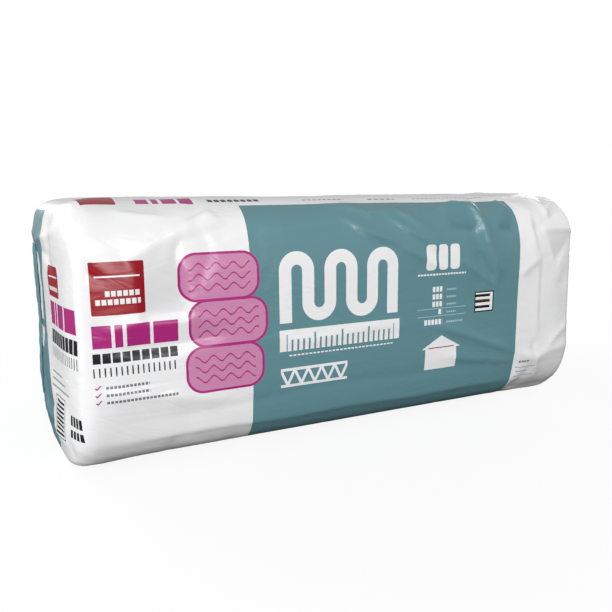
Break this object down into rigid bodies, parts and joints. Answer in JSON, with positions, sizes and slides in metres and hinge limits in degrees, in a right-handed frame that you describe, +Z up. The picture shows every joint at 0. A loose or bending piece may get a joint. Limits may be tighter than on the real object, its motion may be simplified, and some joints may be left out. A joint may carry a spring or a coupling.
{
  "type": "bagged bundle of fiberglass insulation batts",
  "caption": "Compressed stack of kraft-faced glass wool insulation batts in a tight printed film bag, sealed at both ends and lying flat.",
  "frame": {"origin": "middle of the bag's bounding box, at the level it rests on", "axes": "+X along the batts, -Y towards the printed front, +Z up through the stack"},
  "size_m": [1.2735, 0.6196, 0.517],
  "materials": {
    "film": "white polyethylene film with teal and magenta printing",
    "glass_wool": "rose-coloured glass wool",
    "kraft": "asphalt-coated brown kraft paper"
  },
  "bodies": {
    "root": {"film_bag": "film", "batt_1": "glass_wool", "batt_2": "glass_wool", "batt_3": "glass_wool", "batt_4": "glass_wool", "batt_5": "glass_wool", "batt_6": "glass_wool", "batt_7": "glass_wool", "batt_8": "glass_wool", "kraft_facing_1": "kraft", "kraft_facing_2": "kraft", "kraft_facing_3": "kraft", "kraft_facing_4": "kraft", "kraft_facing_5": "kraft", "kraft_facing_6": "kraft", "kraft_facing_7": "kraft", "kraft_facing_8": "kraft"}
  },
  "joints": []
}
